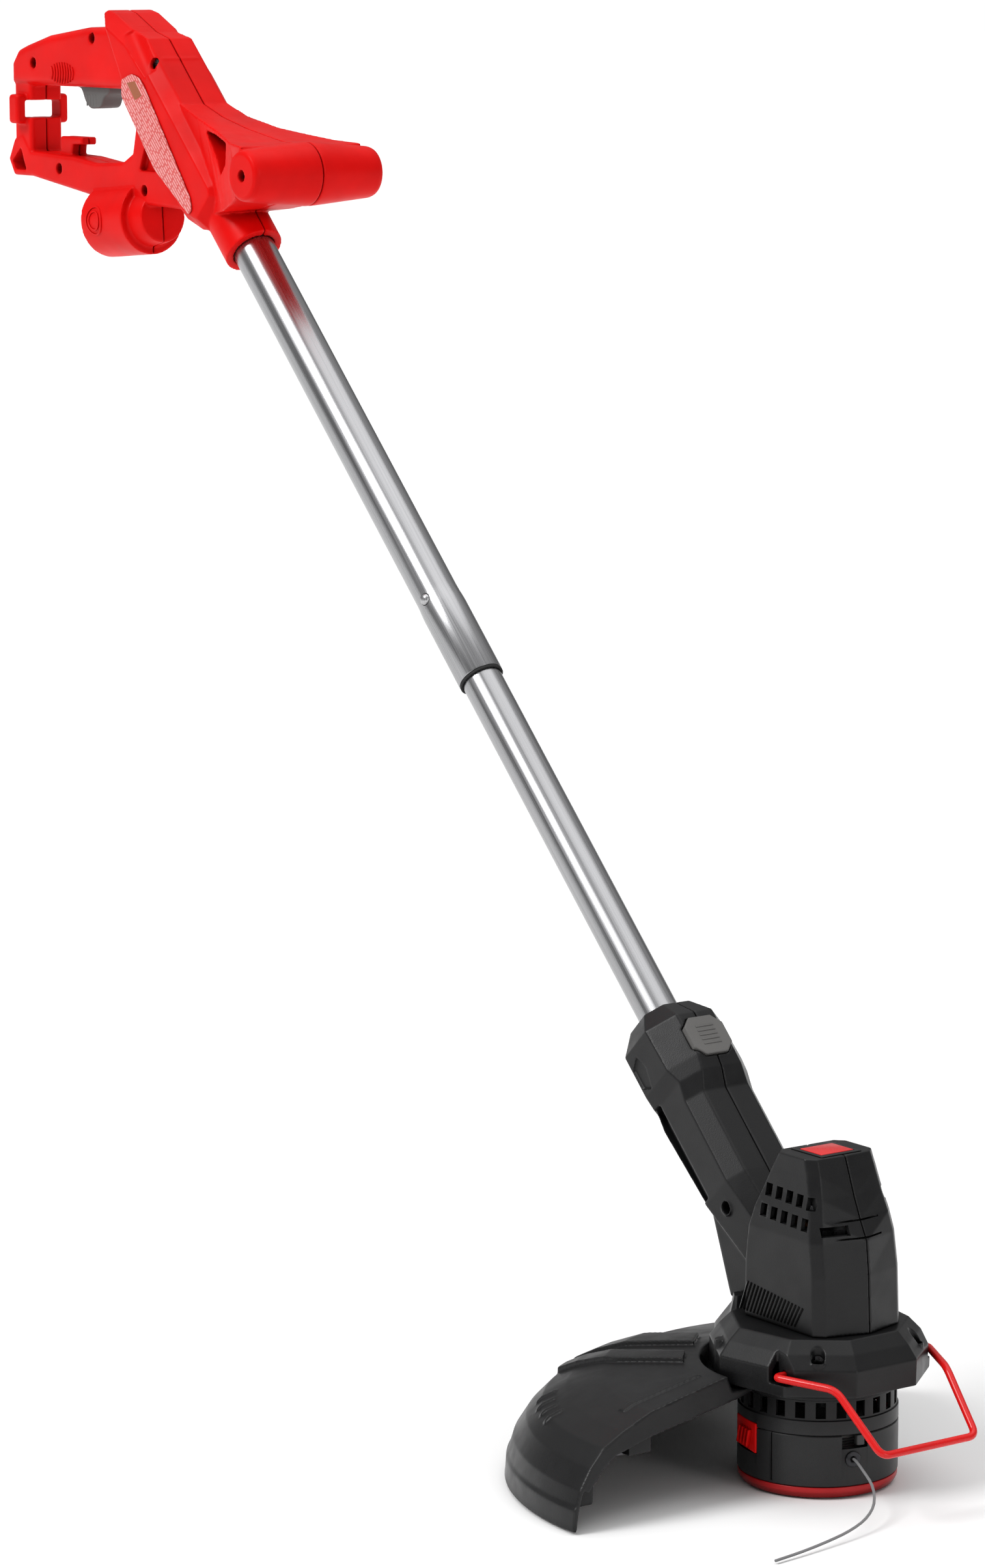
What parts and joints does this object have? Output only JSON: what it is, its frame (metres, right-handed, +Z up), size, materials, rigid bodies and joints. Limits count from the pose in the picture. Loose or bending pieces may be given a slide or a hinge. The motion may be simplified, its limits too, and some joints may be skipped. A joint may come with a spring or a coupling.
{
  "type": "string trimmer",
  "caption": "Corded string trimmer with a D-shaped rear handle, a cross bar, a two-piece metal shaft, a turning motor head, a rear guard, a wire edge guide and a line head.",
  "frame": {"origin": "on the line head's spindle axis, at the underside of the head", "axes": "+Z up along the spindle, +X forward away from the user, +Y to the user's left; the shaft leans back at 45 degrees in the XZ plane"},
  "size_m": [0.9828, 0.32, 0.831],
  "materials": {
    "red_plastic": "satin moulded ABS, strong red",
    "black_plastic": "fine-grain moulded black",
    "grey_plastic": "moulded mid grey",
    "light_grey_plastic": "moulded light grey",
    "tube_metal": "drawn tube, polished along its length",
    "screw_steel": "zinc-plated steel",
    "spring_steel": "spring steel",
    "winding": "enamelled copper winding",
    "contact_brass": "plain brass blades",
    "red_wire": "red coated steel wire",
    "line_nylon": "extruded grey nylon line",
    "label": "printed film with plain marks",
    "rubber": "black rubber"
  },
  "bodies": {
    "handle": {"handle_right": "red_plastic", "handle_left": "red_plastic", "upper_tube": "tube_metal", "lower_tube": "tube_metal", "tube_joint_ring": "rubber", "label_plate": "label", "switch": "black_plastic", "inlet_block": "black_plastic", "inlet_blade_1": "contact_brass", "inlet_blade_2": "contact_brass", "trigger_pin": "screw_steel", "trigger_spring": "spring_steel", "power_lead": "rubber", "handle_screw_1": "screw_steel", "handle_screw_2": "screw_steel", "handle_screw_3": "screw_steel", "handle_screw_4": "screw_steel", "handle_screw_5": "screw_steel", "handle_screw_6": "screw_steel"},
    "trigger": {"trigger": "grey_plastic"},
    "switch_plunger": {"switch_plunger": "black_plastic"},
    "snap_button": {"snap_button": "spring_steel"},
    "head": {"head_right": "black_plastic", "head_left": "black_plastic", "skirt": "black_plastic", "guard": "black_plastic", "line_cutter": "screw_steel", "badge": "red_plastic", "motor_field": "screw_steel", "upper_bearing": "screw_steel", "lower_bearing": "screw_steel", "head_screw": "screw_steel", "skirt_screw_1": "screw_steel", "skirt_screw_2": "screw_steel", "guard_screw_1": "screw_steel", "guard_screw_2": "screw_steel", "push_button_spring": "spring_steel"},
    "push_button": {"push_button": "grey_plastic"},
    "wire_guide": {"wire_guide": "red_wire"},
    "line_head": {"motor_shaft": "screw_steel", "armature": "winding", "cooling_fan": "black_plastic", "spool_housing": "black_plastic", "spool_post": "black_plastic", "spool_cap": "black_plastic", "cap_ring": "red_plastic", "line_eyelet": "screw_steel", "cutting_line": "line_nylon"},
    "spool": {"spool": "grey_plastic", "wound_line": "line_nylon"},
    "feed_lever": {"feed_lever": "light_grey_plastic"},
    "release_tab_1": {"release_tab_1": "red_plastic"},
    "release_tab_2": {"release_tab_2": "red_plastic"}
  },
  "joints": [
    {"name": "head_turn", "type": "hinge", "parent": "handle", "child": "head", "pos_m": [0, 0, 0.096], "axis": [-0.7071, 0, 0.7071], "range_deg": [0, 180]},
    {"name": "push_button_press", "type": "slide", "parent": "head", "child": "push_button", "axis": [-0.7071, 0, -0.7071], "range_m": [0, 0.0022], "stiffness_N_per_m": 900, "springref_m": -0.001, "deforming": ["push_button_spring"]},
    {"name": "trigger_pull", "type": "hinge", "parent": "handle", "child": "trigger", "pos_m": [-0.79, 0, 0.785], "axis": [0, -1, 0], "range_deg": [0, 9], "stiffness_Nm_per_rad": 1.2, "springref_deg": -8.59, "deforming": ["trigger_spring"]},
    {"name": "switch_press", "type": "slide", "parent": "handle", "child": "switch_plunger", "axis": [0, 0, 1], "range_m": [0, 0.0024]},
    {"name": "snap_button_press", "type": "slide", "parent": "handle", "child": "snap_button", "axis": [-0.183, 0.9659, -0.183], "range_m": [0, 0.0035], "stiffness_N_per_m": 1500, "springref_m": -0.001},
    {"name": "wire_guide_fold", "type": "hinge", "parent": "head", "child": "wire_guide", "pos_m": [0.03, 0, 0.0755], "axis": [0, -1, 0], "range_deg": [0, 60]},
    {"name": "spindle_spin", "type": "hinge", "parent": "head", "child": "line_head", "pos_m": [0, 0, 0], "axis": [0, 0, 1], "continuous": true},
    {"name": "spool_feed", "type": "hinge", "parent": "line_head", "child": "spool", "pos_m": [0, 0, 0], "axis": [0, 0, 1], "continuous": true},
    {"name": "feed_lever_swing", "type": "hinge", "parent": "line_head", "child": "feed_lever", "pos_m": [0.04312, -0.00065, 0.0325], "axis": [0, 0, 1], "range_deg": [0, 5], "stiffness_Nm_per_rad": 0.1, "springref_deg": -2.86},
    {"name": "release_tab_1_press", "type": "slide", "parent": "line_head", "child": "release_tab_1", "axis": [0.2419, 0.9703, 0], "range_m": [0, 0.0025], "stiffness_N_per_m": 1200, "springref_m": -0.001},
    {"name": "release_tab_2_press", "type": "slide", "parent": "line_head", "child": "release_tab_2", "axis": [-0.2419, -0.9703, 0], "range_m": [0, 0.0025], "stiffness_N_per_m": 1200, "springref_m": -0.001}
  ],
  "couplings": [
    {"joint": "switch_press", "follows": "trigger_pull", "m_per_rad": 0.0148}
  ]
}
